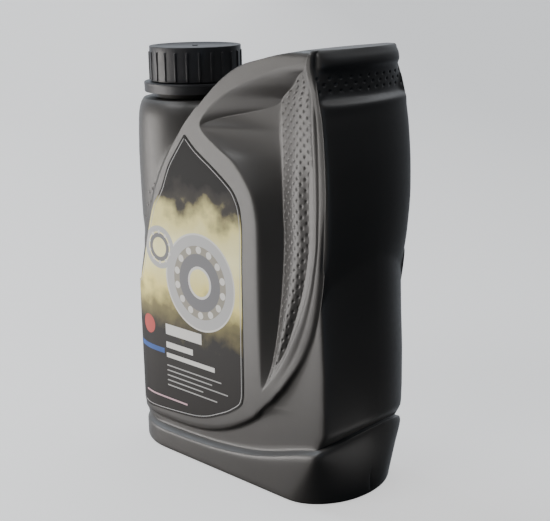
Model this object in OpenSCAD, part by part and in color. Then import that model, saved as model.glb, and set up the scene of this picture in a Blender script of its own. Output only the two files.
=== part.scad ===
/* [Body] */
// Width over the two ends, mm
body_w = 134; // [122:1:150]
// Depth over the front and back panels, mm
body_d = 56; // [50:1:62]
// Height to the top of the grip, mm
body_h = 188; // [172:1:210]
// Plastic thickness of the bottle, mm
wall = 1.2; // [0.9:0.1:1.6]
// Depth of the finger recess at its deepest corner, mm
scoop_depth = 7.5; // [4:0.5:9]
// Height of the raised panel above the ground round it, mm
panel_step = 2.2; // [1.6:0.1:2.8]
// Depth of the groove above the foot, mm
groove_depth = 3; // [2.4:0.1:3.6]
// How far the foot stands proud of the panel, mm
foot_proud = 1; // [0.4:0.1:1.6]

/* [Neck] */
// Bore of the pouring neck, mm
neck_bore = 32; // [27:0.5:33]
// Plastic thickness of the neck, mm
neck_wall = 2; // [1.6:0.1:2.4]
// Height of the neck above the shoulder, mm
neck_h = 19.8; // [18:0.2:24]
// Height of the screw thread that the cap clears, mm
thread_h = 0.9; // [0.6:0.1:1.2]

/* [Cap] */
// Running gap between cap, ring and neck, mm
play = 0.4; // [0.3:0.05:0.6]
// Outside diameter of the screw cap, mm
cap_d = 42; // [42:0.5:45]
// Thickness of the top of the cap, mm
cap_top = 1.6; // [1.2:0.1:2.4]
// Ribs round the cap
cap_ribs = 24; // [16:1:36]
// Height of the ribs, mm
rib_h = 0.5; // [0.3:0.1:0.8]
// Outside diameter of the tamper ring, mm
ring_d = 46.8; // [44.4:0.2:48]
// Height of the tamper ring, mm
ring_h = 4.4; // [3.4:0.2:5]
// Thickness of the sealing disc in the cap, mm
liner_t = 1.2; // [0.8:0.1:1.6]

/* [Label] */
// Thickness of the label, mm
label_t = 0.3; // [0.2:0.05:0.6]

/* [Hidden] */
$fn = 72;

// the drawn curves are for a bottle of this width, depth and height, with its shoulder at this height
drawn = [144, 60, 202];
drawn_shoulder = 175;
kx = body_w / drawn[0];
ky = body_d / drawn[1];
kz = body_h / drawn[2];
half_d = body_d / 2;
neck_x = half_d - body_w / 2;
shoulder_z = drawn_shoulder * kz;
// the ring sits this far above the shoulder
ring_lift = 2.6;
neck_top = shoulder_z + neck_h;
neck_r = neck_bore / 2 + neck_wall;
cap_r_in = neck_r + thread_h + play;
ring_z0 = shoulder_z + ring_lift;
cap_z0 = ring_z0 + ring_h + play;
cap_z1 = neck_top + liner_t + cap_top;

// smooth curve through [place, value] pairs, level beyond its ends
function slope(c, i) =
    i == 0 ? (c[1][1] - c[0][1]) / (c[1][0] - c[0][0]) :
    i == len(c) - 1 ? (c[i][1] - c[i - 1][1]) / (c[i][0] - c[i - 1][0]) :
    let (a = (c[i][1] - c[i - 1][1]) / (c[i][0] - c[i - 1][0]),
         b = (c[i + 1][1] - c[i][1]) / (c[i + 1][0] - c[i][0]))
    a * b <= 0 ? 0 : 2 * a * b / (a + b);
function seek(c, t, i = 0) = t < c[i + 1][0] || i == len(c) - 2 ? i : seek(c, t, i + 1);
function curve(c, t) =
    t <= c[0][0] ? c[0][1] : t >= c[len(c) - 1][0] ? c[len(c) - 1][1] :
    let (i = seek(c, t), h = c[i + 1][0] - c[i][0], s = (t - c[i][0]) / h)
    (1 + 2 * s) * (1 - s) * (1 - s) * c[i][1] + s * (1 - s) * (1 - s) * h * slope(c, i)
    + s * s * (3 - 2 * s) * c[i + 1][1] + s * s * (s - 1) * h * slope(c, i + 1);
function ease(a, b, t) = let (s = min(1, max(0, (t - a) / (b - a)))) s * s * (3 - 2 * s);

// edges drawn on the front, as [height, place across]
arc_edge = [[60, -60], [80, -60], [97, -54], [112, -48.5], [133, -40.5], [148.4, -32.4], [165, -19.5],
    [174.7, -9.9], [180.7, -3.6], [187.5, 4.7], [192.5, 13], [195.5, 20.4], [197.1, 27.5],
    [199.6, 38.5], [200.9, 46.5], [202, 53.5]];
rim_edge = [[0, 15], [30, 16.5], [38, 19.5], [49, 27.8], [80, 27.6], [124, 27.7], [131.6, 26.7],
    [138, 24.9], [144.6, 20.8], [153, 12.5], [157.6, 3.9], [166.5, -7.6], [175.4, -0.9],
    [182.8, 10.4], [187.6, 21.3], [190.4, 30.1], [193.5, 37.8], [195.2, 46.5], [195.9, 53],
    [202, 56.2]];
fold_edge = [[0, 16.5], [38, 20.8], [49, 28.3], [80, 31], [110, 32], [131, 30.8], [145, 26.5],
    [155, 17], [161, 7], [166.5, -6.6], [179, 34.7], [187, 37], [193, 46], [195.5, 53.3],
    [202, 56.8]];
valley_edge = [[0, 18], [30, 19.5], [38, 22], [48.5, 28.8], [61.6, 33.1], [79, 35.2], [99, 36.6],
    [121, 37.2], [130, 36.6], [146, 36.1], [163, 35.7], [179, 35.2], [187.5, 46], [192.2, 51],
    [194, 54.4], [202, 57.4]];
ridge_edge = [[0, 21], [30, 22.5], [38, 24], [49, 29.8], [60, 37.5], [76, 46], [89.4, 52],
    [105, 57.2], [124, 60.3], [150, 60.2], [178, 59.2], [190, 57.2], [196, 56], [202, 57.8]];
border_edge = [[0, 24], [36, 24.6], [37.8, 26.5], [40, 30.5], [43.5, 34], [48.8, 37.9], [56.1, 43.4],
    [67.6, 51.2], [74.7, 54.7], [81.3, 57.4], [93, 60.4], [106, 62.4], [124, 64], [142, 65.2],
    [165, 64.3], [179, 62.2], [190, 59.6], [196, 58], [202, 58.2]];
// heights of the recess's pointed corner and of its deepest corner
point_z = 166.5;
deep_z = 179;
// depth of the recess along its valley, as a share of the whole
valley_depth = [[49, 0], [61.6, 0.3], [79, 0.59], [99, 0.8], [121, 0.92], [163, 1], [179, 1],
    [187.5, 0.5], [192.2, 0.22], [194.5, 0.06], [195.9, 0.01]];
// radius of the rounded end under the neck
column_r = [[105, 28.4], [109, 28], [118, 28.6], [147, 29], [160, 28.7], [168, 28.2], [172, 27.3],
    [174, 26.4], [175, 25.4]];
// grip end: its corner line for the upper and the lower form
grip_x = [[60, 55], [84, 59], [95, 61], [101, 63], [107, 64.6], [120, 66.8], [138, 67.8],
    [150, 67.6], [170, 65.9], [176, 65.1], [179.8, 64.7], [182.1, 61.7], [184.5, 61], [189, 60.8],
    [193.5, 61.2], [195.6, 62.5], [198, 62.2], [200, 61.2], [202, 60.2]];
low_x = [[0, 64.8], [12, 63.8], [22, 63.4], [28, 64.2], [34, 64.8], [60, 64.7], [84, 63.6],
    [101, 63.1], [117, 62.6], [130, 60], [150, 45]];
low_start = [[0, 44], [10, 50], [25, 58], [40, 61.2], [84, 61], [101, 60.5], [130, 57], [150, 42]];
low_round = [[0, 2.3], [12, 3.2], [25, 6], [40, 10]];
low_bow = [[0, 3.5], [25, 6.4], [40, 7.2], [101, 7.8]];
grip_bow = 4.6;
// height of the groove and of the panel's lower edge across the front
groove_line = [[-72, 11], [-52, 11.8], [-34, 11.9], [-10, 12.8], [12.4, 15.3], [33.8, 19.9],
    [51.9, 26.2], [62, 28.4]];
sweep_line = [[-72, 15.8], [-46.7, 16], [-34, 16.2], [-21, 17], [-10, 18.6], [1.4, 22], [12.8, 27.5],
    [23.7, 34.6], [27, 37.8], [28.5, 39], [50, 41], [72, 44]];
groove_rise = 5.6;

// grip end at height z, s = 1 at the corner and 0 in the middle
function bow(x0, x1, rise, m, s) = x0 + (x1 + rise * (1 - s * s) - x0) * pow(max(0, 1 - pow(s, m)), 1 / m);
function low_end(z, s) =
    bow(curve(low_start, z), curve(low_x, z), curve(low_bow, z), curve(low_round, z), s);
function grip_end(z, s) =
    bow(z > 90 ? curve(border_edge, z) - 2 : curve(grip_x, z) - 3, curve(grip_x, z), grip_bow, 9, s);
function end_at(z, s) = z > 70 ? max(low_end(z, s), grip_end(z, s)) : low_end(z, s);
// the inside keeps clear of the end a little above and below too
end_reach = 2.6;
function end_x(z, s, t) = t == 0 ? end_at(z, s) :
    min(end_at(max(0, z - end_reach), s), end_at(z, s), end_at(z + end_reach, s));

// rows up the bottle, as [kind, place, cut back]
function foot_rows() = [["base", 0, 1.4], ["base", 0.5, 0.45], ["base", 1.6, 0], ["band", 0.5, 0],
    ["band", 0.88, 0], ["band", 1, 0.9], ["groove", 0, groove_depth], ["lip", 0, 0], ["foot", 0, 0],
    ["top", 0, 0],
    ["panel", 0.35, 0], ["panel", 0.68, 0], ["panel", 1, 0]];
function level_rows(z0, z1, n) = [for (i = [1 : n]) ["level", z0 + (z1 - z0) * i / n, 0]];
outer_rows = concat(foot_rows(), level_rows(52, 152, 14), level_rows(152, drawn_shoulder - 0.1, 9),
    [["level", drawn_shoulder + 0.2, 0]], level_rows(drawn_shoulder + 0.2, 196, 9),
    [for (z = [197.5, 199, 200.3, 201.3, 202]) ["level", z, 0]]);
// the inside stops short of the shoulder by this much
inner_shoulder = drawn_shoulder - 2 * wall;
inner_rows = concat([["base", 0, 2.4], ["base", 2.4, 0.4], ["band", 0.7, 0.2],
    ["groove", 0, groove_depth + 0.2], ["lip", 0, 0.2], ["foot", 0, 0], ["top", 0, 0],
    ["panel", 0.5, 0], ["panel", 1, 0]], level_rows(52, 152, 8),
    level_rows(152, inner_shoulder - 0.1, 4), [["level", inner_shoulder + 0.5, 0]],
    level_rows(inner_shoulder + 0.5, 199.5, 7));
// columns: rounded end, panel, the four faces of the recess, ground, grip end
outer_cols = [8, 14, 2, 2, 4, 1, 3];
inner_cols = [8, 6, 1, 1, 2, 1, 1];
outer_end = [1, 0.995, 0.97, 0.92, 0.84, 0.72, 0.56, 0.38, 0.19, 0];
inner_end = [1, 0.95, 0.8, 0.46, 0];

// a place u along the panel, going round the end under the neck
function lay(u, d) = u >= neck_x ? [u, -d] :
    let (a = (neck_x - u) / half_d * 180 / PI) [neck_x - d * sin(a), -d * cos(a)];
function run(a, b, da, db, n, d) = [for (i = [1 : n]) lay(a + (b - a) * i / n, d - da - (db - da) * i / n)];
// rounded end, a little squarer than a circle up to the panel's height
panel_round = 2.31;
foot_round = 1.95;
function squared(a, m) = pow(pow(abs(sin(a)), m) + pow(abs(cos(a)), m), -1 / m);
// the groove and the ground over it run out round the end
function held(row, a) =
    row[0] == "groove" || row[0] == "lip" || row[0] == "foot" ? 1 - 0.75 * ease(15, 60, a) : 1;

function nominal(row) = row[0] == "base" ? 0 : row[0] == "band" ? 24 * row[1] : row[0] == "groove" ? 28 :
    row[0] == "lip" ? 32 : row[0] == "foot" ? 36 : row[0] == "top" ? 37.8 :
    row[0] == "panel" ? 37.8 + row[1] * 14.2 : row[1];
function row_height(row, x, zg, zs, t) =
    row[0] == "base" ? row[1] + t : row[0] == "band" ? 2.4 + t + (zg - 1.2 - 2.4 - t) * row[1] :
    row[0] == "groove" ? zg : row[0] == "lip" ? zg + 1.8 : row[0] == "foot" ? zs - 1.2 + t * 0.8 :
    row[0] == "top" ? zs + 0.6 + t * 0.8 :
    row[0] == "panel" ? zs + 0.6 + t * 0.8 + (52 - zs - 0.6 - t * 0.8) * row[1] :
    row[1];

// half of one row, from the rounded end round the front to the grip end, cut back by t for the inside
function half_row(row, cols, ends, t) = let (
    z = nominal(row), raised = row[0] == "top" || row[0] == "panel" || row[0] == "level",
    foot = row[0] == "base" || row[0] == "band" || row[0] == "groove", back = row[2] + t,
    sink = raised || foot ? 0 : panel_step,
    q = min(1, max(0, (z - 199) / 3)), top_in = 2.2 * (1 - sqrt(1 - q * q)),
    d = half_d - 1.5 * ease(164, 202, z) - top_in - back + (foot ? foot_proud : 0),
    arc = curve(arc_edge, z + t * 1.4) * kx + t, lean = t * ease(52, 84, z),
    border = curve(border_edge, z) * kx - lean,
    ridge = min(border - 0.4, curve(ridge_edge, z) * kx - lean * 0.8),
    vale = min(ridge - 0.4, curve(valley_edge, z) * kx), edge = curve(rim_edge, z) * kx,
    fold = min(vale - 0.4, max(edge + 0.4, curve(fold_edge, z) * kx)), rim = min(edge, fold - 0.4),
    dv = raised ? scoop_depth * curve(valley_depth, z) : 0,
    df = z > point_z && z < deep_z ? scoop_depth * (z - point_z) / (deep_z - point_z)
        : dv * (fold - rim) / (vale - rim),
    fade = raised ? ease(49, 75, z) : 0, dr = 0.6 * fade, db = 1.3 * fade,
    k = ease(70, 105, z),
    r = (half_d - sink + (foot ? foot_proud : 0)) * (1 - k) + curve(column_r, z) * ky * k - back,
    u0 = arc - 1.8,
    a0 = u0 < neck_x ? (neck_x - u0) / half_d * 180 / PI
        : -asin(min(t > 0 ? 0.7 : 0.64, (u0 - neck_x) / r)),
    round_face = foot ? foot_round : panel_round,
    round_end = foot ? foot_round : 2 + (panel_round - 2) * (1 - k),
    n = cols[0],
    low_side = z <= drawn_shoulder - t * 2,
    column = low_side
        ? [for (i = [0 : n - 1]) let (a = 90 + (a0 - 90) * i / (n - 1),
            out = (sink * (1 - k) + row[2]) * (1 - held(row, a)), rr = (r + out) * squared(a, round_end))
            [neck_x - rr * sin(a), -rr * cos(a)]]
        : [for (i = [0 : n - 1]) let (q = i / (n - 1)) [arc - 0.8 * (1 - q * q), -0.7 * (d - 2) * q]],
    u1 = arc + (low_side ? 0 : 0.8),
    face = [for (i = [0 : cols[1] - 1]) let (u = u1 + (rim - u1) * i / (cols[1] - 1),
            a = u < neck_x ? (neck_x - u) / half_d * 180 / PI : 0,
            out = (sink + row[2]) * (1 - held(row, a)))
            lay(u, (d - sink + out) * squared(a, round_face))],
    ground = d - (foot ? 0 : panel_step * (1 - 0.35 * ease(110, 140, z))),
    u9 = border + (z > 110 ? 0.7 - t * 0.3 : 1.5), xc = max(end_x(z, 1, t) * kx - t, u9 + 0.3),
    flat = [for (i = [0 : cols[6] - 1]) [u9 + (xc - row[2] - u9) * i / cols[6], -ground]],
    grip = [for (i = [0 : len(ends) - 1]) let (s = ends[i], x = end_x(z, s, t) * kx - t)
        [(i == 0 ? xc : max(x, xc + 0.05 * i)) - row[2], -ground * s]],
    plan = concat(column, face, run(rim, fold, sink, sink + df, cols[2], d),
        run(fold, vale, sink + df, sink + dv, cols[3], d),
        run(vale, ridge, sink + dv, sink + dr, cols[4], d),
        run(ridge, border, sink + dr, sink + db, cols[5], d), flat, grip),
    n_end = len(plan) - len(ends))
    [for (i = [0 : len(plan) - 1]) let (p = plan[i], s = i < n_end ? 1 : ends[i - n_end],
        zg = curve(groove_line, p[0] / kx) + (i < n_end ? 0 : groove_rise * (1 - s * s)),
        zs = max(curve(sweep_line, p[0] / kx), zg + 4.5))
        [p[0], p[1], min(body_h - t * 1.2, row_height(row, p[0], zg, zs, t) * kz)]];
function whole_row(h) = concat(h, [for (i = [len(h) - 2 : -1 : 1]) [h[i][0], -h[i][1], h[i][2]]]);

// faces of a closed skin through m rows of n points, open for c columns each way above row k
function skin_faces(m, n, k, c) = let (h = n / 2, o = (m - 1) * n) concat(
    [for (i = [0 : h - 1], f = [0, 1]) let (a = i, b = i + 1, g = (n - i) % n, e = n - i - 1)
        if (f == 0 ? i > 0 : i < h - 1) f == 0 ? [a, b, g] : [b, e, g]],
    [for (i = [0 : h - 1], f = [0, 1]) let (a = i, b = i + 1, g = (n - i) % n, e = n - i - 1)
        if (f == 0 ? i > 0 : i < h - 1) f == 0 ? [o + a, o + g, o + b] : [o + b, o + g, o + e]],
    [for (j = [0 : m - 2], i = [0 : n - 1], f = [0, 1]) let (a = j * n + i, b = j * n + (i + 1) % n,
        g = a + n, e = b + n) if (j != k || (i >= c - 1 && i < n - c + 1))
        i < h ? (f == 0 ? [a, g, b] : [b, g, e]) : (f == 0 ? [a, e, b] : [a, g, e])]);
// the edge left open there, once round
function open_edge(n, k, c) = concat([for (i = [-(c - 1) : c - 1]) (k + 1) * n + (i + n) % n],
    [for (i = [c - 1 : -1 : -(c - 1)]) k * n + (i + n) % n]);
function shift(f, o) = [for (t = f) [for (i = t) i + o]];
function turned(f) = [for (t = f) [t[0], t[2], t[1]]];
function collar(p, h) = [for (i = [0 : len(p) - 1], f = [0, 1]) let (j = (i + 1) % len(p))
    f == 0 ? [p[i], p[j], h[j]] : [p[i], h[j], h[i]]];
function rows_of(list, cols, ends, t) = [for (r = list) each whole_row(half_row(r, cols, ends, t))];
function count_to(list, z) = len([for (r = list) if (nominal(r) <= z) r]) - 1;

// wall of the body in one piece, with a small hole through it under the neck
module body_shell() {
    outside = rows_of(outer_rows, outer_cols, outer_end, 0);
    inside = rows_of(inner_rows, inner_cols, inner_end, wall);
    c = outer_cols[0];
    mo = len(outer_rows);
    mi = len(inner_rows);
    no = len(outside) / mo;
    ni = len(inside) / mi;
    ko = count_to(outer_rows, drawn_shoulder);
    ki = count_to(inner_rows, inner_shoulder);
    edge_o = open_edge(no, ko, c);
    edge_i = [for (i = open_edge(ni, ki, c)) i + len(outside)];
    all = concat(outside, inside);
    n = len(edge_o);
    first = len(all);
    hole_o = [for (i = [0 : n - 1]) first + i];
    hole_i = [for (i = [0 : n - 1]) first + n + i];
    hole_r = 8;
    function hole_point(p, z) = let (a = atan2(p[1], p[0] - neck_x))
        [neck_x + hole_r * cos(a), hole_r * sin(a), z];
    polyhedron(concat(all, [for (i = edge_o) hole_point(all[i], shoulder_z)],
        [for (i = edge_o) hole_point(all[i], (inner_shoulder + 0.2) * kz)]),
        concat(skin_faces(mo, no, ko, c), shift(turned(skin_faces(mi, ni, ki, c)), len(outside)),
            collar(edge_o, hole_o), turned(collar(edge_i, hole_i)), collar(hole_o, hole_i)), convexity = 8);
}

// plan of the raised panel, rounded at the neck end and grown by g
module panel_plan(g) {
    n = 60;
    polygon(concat([[neck_x + body_w * 0.6, half_d + g]],
        [for (i = [0 : n]) let (a = 90 + 180 * i / n, r = (half_d + g) * squared(a, panel_round))
            [neck_x + r * cos(a), r * sin(a)]],
        [[neck_x + body_w * 0.6, -half_d - g]]));
}

module bottle() {
    color([0.25, 0.24, 0.24]) difference() {
        union() {
            body_shell();
            translate([neck_x, 0, 0]) rotate_extrude() polygon([
                [neck_bore / 2 - 0.6, shoulder_z - 2.2], [neck_r + 1.2, shoulder_z - 2.2],
                [neck_r + 1.2, shoulder_z + 1.2], [neck_r, shoulder_z + 2.2],
                [neck_r, neck_top - 0.5], [neck_r - 0.5, neck_top], [neck_bore / 2 - 0.6, neck_top]]);
        }
        translate([neck_x, 0, shoulder_z - 8]) cylinder(h = neck_h + 20, r = neck_bore / 2);
    }
}

module tamper_ring() {
    color([0.09, 0.09, 0.1]) translate([neck_x, 0, 0]) rotate_extrude() polygon([
        [neck_r + play, ring_z0], [ring_d / 2 - 0.4, ring_z0], [ring_d / 2, ring_z0 + 0.4],
        [ring_d / 2, ring_z0 + ring_h - 0.5], [ring_d / 2 - 0.5, ring_z0 + ring_h],
        [neck_r + play, ring_z0 + ring_h]]);
}

module screw_cap() {
    rim_r = cap_d / 2 - rib_h;
    color([0.09, 0.09, 0.1]) translate([neck_x, 0, 0]) difference() {
        union() {
            rotate_extrude() polygon([[0, cap_z0], [rim_r, cap_z0], [rim_r - 0.4, cap_z1 - 1],
                [rim_r - 1.4, cap_z1], [0, cap_z1]]);
            for (i = [0 : cap_ribs - 1]) rotate(i * 360 / cap_ribs)
                translate([rim_r - 0.9, -0.9, cap_z0]) cube([rib_h + 0.9, 1.8, cap_z1 - cap_z0 - 2.4]);
        }
        translate([0, 0, cap_z0 - 1]) cylinder(h = cap_z1 - cap_top - cap_z0 + 1, r = cap_r_in);
    }
}

module cap_liner() {
    color([0.85, 0.85, 0.83]) translate([neck_x, 0, neck_top])
        cylinder(h = liner_t, r = cap_r_in - 0.2);
}

// label outline on the front, as [place across, height]
label_left = [[20, -75], [80, -75], [86, -57.5], [97, -51.5], [111, -47], [126, -41.6], [133.4, -36.4],
    [146.1, -30.1], [154.2, -24], [161.7, -18]];
label_right = [[20, -75], [20.4, -50], [23.5, -14], [28.4, -0.4], [33, 8.6], [38.9, 15.6], [44, 16.8],
    [104, 17.5], [122.7, 18], [130.3, 17.3], [138.6, 13.4], [143.5, 7.6], [149.3, -1], [155.5, -11],
    [161.7, -18]];

label_span = [20, 161.7];
function label_edge(c, f) = let (z = label_span[0] + (label_span[1] - label_span[0]) * f)
    [curve(c, z) * kx, z * kz];

module label() {
    n = 48;
    color([0.8, 0.78, 0.66]) intersection() {
        difference() {
            linear_extrude(body_h) panel_plan(0.03 + label_t);
            translate([0, 0, -1]) linear_extrude(body_h + 2) panel_plan(0.03);
        }
        rotate([90, 0, 0]) translate([0, 0, -body_d]) linear_extrude(body_d * 2) polygon(concat(
            [for (i = [0 : n]) label_edge(label_left, i / n)],
            [for (i = [n - 1 : -1 : 1]) label_edge(label_right, i / n)]));
    }
}

bottle();
tamper_ring();
screw_cap();
cap_liner();
label();
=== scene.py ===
import bpy
import bmesh
import math
from mathutils import Matrix, Vector
from types import SimpleNamespace


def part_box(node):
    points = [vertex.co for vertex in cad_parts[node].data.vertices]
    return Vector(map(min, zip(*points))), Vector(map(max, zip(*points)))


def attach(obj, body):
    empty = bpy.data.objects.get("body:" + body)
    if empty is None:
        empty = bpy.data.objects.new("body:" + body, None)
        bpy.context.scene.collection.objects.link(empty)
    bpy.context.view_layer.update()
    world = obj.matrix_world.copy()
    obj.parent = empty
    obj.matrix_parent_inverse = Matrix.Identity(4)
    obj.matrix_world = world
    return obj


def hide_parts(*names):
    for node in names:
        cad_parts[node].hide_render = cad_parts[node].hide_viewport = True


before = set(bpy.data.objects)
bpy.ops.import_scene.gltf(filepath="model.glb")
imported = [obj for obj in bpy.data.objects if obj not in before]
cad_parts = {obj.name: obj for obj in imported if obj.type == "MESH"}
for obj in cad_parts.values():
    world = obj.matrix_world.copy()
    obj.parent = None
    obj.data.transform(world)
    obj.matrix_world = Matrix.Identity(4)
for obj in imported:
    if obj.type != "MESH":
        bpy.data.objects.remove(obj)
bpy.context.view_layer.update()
mm = 0.001

# sizes read from the frame, in mm
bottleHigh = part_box("bottle")[1] / mm
capLow, capHigh = [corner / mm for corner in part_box("screw_cap")]
ringLow, ringHigh = [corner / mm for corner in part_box("tamper_ring")]
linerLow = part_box("cap_liner")[0] / mm
neckX = (capLow.x + capHigh.x) / 2
print("frame loaded, neck axis at", round(neckX, 2), "mm")


def clearSelection():
    if bpy.context.object and bpy.context.object.mode != "OBJECT":
        bpy.ops.object.mode_set(mode="OBJECT")
    bpy.ops.object.select_all(action="DESELECT")


def makeActive(piece):
    clearSelection()
    piece.select_set(True)
    bpy.context.view_layer.objects.active = piece


def editMesh(piece, selectMode="VERT"):
    makeActive(piece)
    bpy.ops.object.mode_set(mode="EDIT")
    bpy.ops.mesh.select_mode(type=selectMode)
    return bmesh.from_edit_mesh(piece.data)


def objectMode():
    bpy.ops.object.mode_set(mode="OBJECT")


def applyModifier(piece, kind, **values):
    makeActive(piece)
    modifier = piece.modifiers.new(kind.title(), kind)
    for key, value in values.items():
        setattr(modifier, key, value)
    bpy.ops.object.modifier_apply(modifier=modifier.name)


def mergeAndTurnOut(piece, distance=0.004 * mm):
    editMesh(piece)
    bpy.ops.mesh.select_all(action="SELECT")
    bpy.ops.mesh.remove_doubles(threshold=distance)
    bpy.ops.mesh.normals_make_consistent(inside=False)
    objectMode()


def selectFaces(piece, test):
    mesh = editMesh(piece, "FACE")
    bpy.ops.mesh.select_all(action="DESELECT")
    for face in mesh.faces:
        face.select = test(face)
    bmesh.update_edit_mesh(piece.data)


def mirrorToBack(piece):
    applyModifier(piece, "MIRROR", use_axis=(False, True, False), merge_threshold=0.01 * mm)
    mergeAndTurnOut(piece)


def gridPiece(nCols, nRows):
    clearSelection()
    bpy.ops.mesh.primitive_grid_add(x_subdivisions=nCols - 1, y_subdivisions=nRows - 1, size=1)
    return bpy.context.object


def joinInto(piece, other):
    makeActive(piece)
    other.select_set(True)
    bpy.ops.object.join()


def applyPlace():
    bpy.ops.object.transform_apply(location=True, rotation=True, scale=True)


def smoothShade(piece, degrees):
    makeActive(piece)
    bpy.ops.object.shade_smooth_by_angle(angle=math.radians(degrees))


def placePiece(piece, name, body, slot, material, *nodes):
    piece.name = name
    piece.data.name = name
    piece.data.materials.clear()
    piece.data.materials.append(material)
    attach(piece, body)
    if nodes:
        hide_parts(*nodes)


# curves through given [place, value] pairs, level beyond their ends
def smoothCurve(pairs):
    place = [p[0] for p in pairs]
    value = [p[1] for p in pairs]
    rate = [(value[i + 1] - value[i]) / (place[i + 1] - place[i]) for i in range(len(pairs) - 1)]
    slope = [rate[0]]
    for a, b in zip(rate, rate[1:]):
        slope.append(0 if a * b <= 0 else 2 * a * b / (a + b))
    slope.append(rate[-1])

    def at(t):
        if t <= place[0]:
            return value[0]
        if t >= place[-1]:
            return value[-1]
        i = 0
        while t >= place[i + 1]:
            i += 1
        h = place[i + 1] - place[i]
        s = (t - place[i]) / h
        r = 1 - s
        return ((1 + 2 * s) * r * r * value[i] + s * r * r * h * slope[i]
                + s * s * (3 - 2 * s) * value[i + 1] - s * s * r * h * slope[i + 1])
    return at


def ease(a, b, t):
    s = min(1.0, max(0.0, (t - a) / (b - a)))
    return s * s * (3 - 2 * s)


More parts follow.
